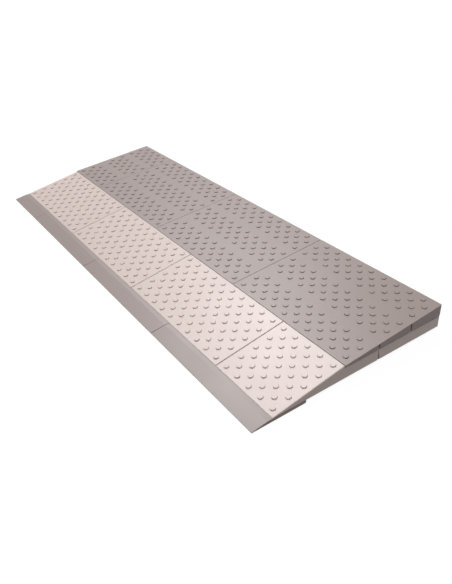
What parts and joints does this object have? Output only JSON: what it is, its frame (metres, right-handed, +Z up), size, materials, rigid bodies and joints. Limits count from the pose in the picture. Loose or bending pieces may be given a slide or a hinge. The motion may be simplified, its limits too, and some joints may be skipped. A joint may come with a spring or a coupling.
{
  "type": "threshold ramp",
  "caption": "Modular door threshold ramp: plain wedge edge strips and knobbed pale and grey moulded ramp modules in running bond, on base blocks and anti-slip pads.",
  "frame": {"origin": "middle of the footprint, on the floor", "axes": "+X along the width to the right, +Y up the ramp towards the door sill, +Z up"},
  "size_m": [0.84, 0.3194, 0.0421],
  "materials": {
    "grey_plastic": "fine moulded satin, warm grey",
    "pale_plastic": "fine moulded satin, pale warm grey",
    "peg_plastic": "plain moulded, dark",
    "pad_rubber": "matte black"
  },
  "bodies": {
    "root": {"edge_strip_1": "grey_plastic", "edge_strip_2": "grey_plastic", "edge_strip_3": "grey_plastic", "edge_strip_4": "grey_plastic", "lower_ramp_1": "pale_plastic", "lower_ramp_2": "pale_plastic", "lower_ramp_3": "pale_plastic", "lower_ramp_4": "pale_plastic", "base_block_1": "pale_plastic", "base_block_2": "pale_plastic", "base_block_3": "pale_plastic", "base_block_4": "pale_plastic", "upper_ramp_1": "grey_plastic", "upper_ramp_2": "grey_plastic", "upper_ramp_3": "grey_plastic", "upper_ramp_4": "grey_plastic", "edge_pegs": "peg_plastic", "shelf_pegs": "peg_plastic", "rear_pegs": "peg_plastic", "shelf_pads": "pad_rubber", "base_front_pads": "pad_rubber", "base_rear_pads": "pad_rubber"}
  },
  "joints": []
}
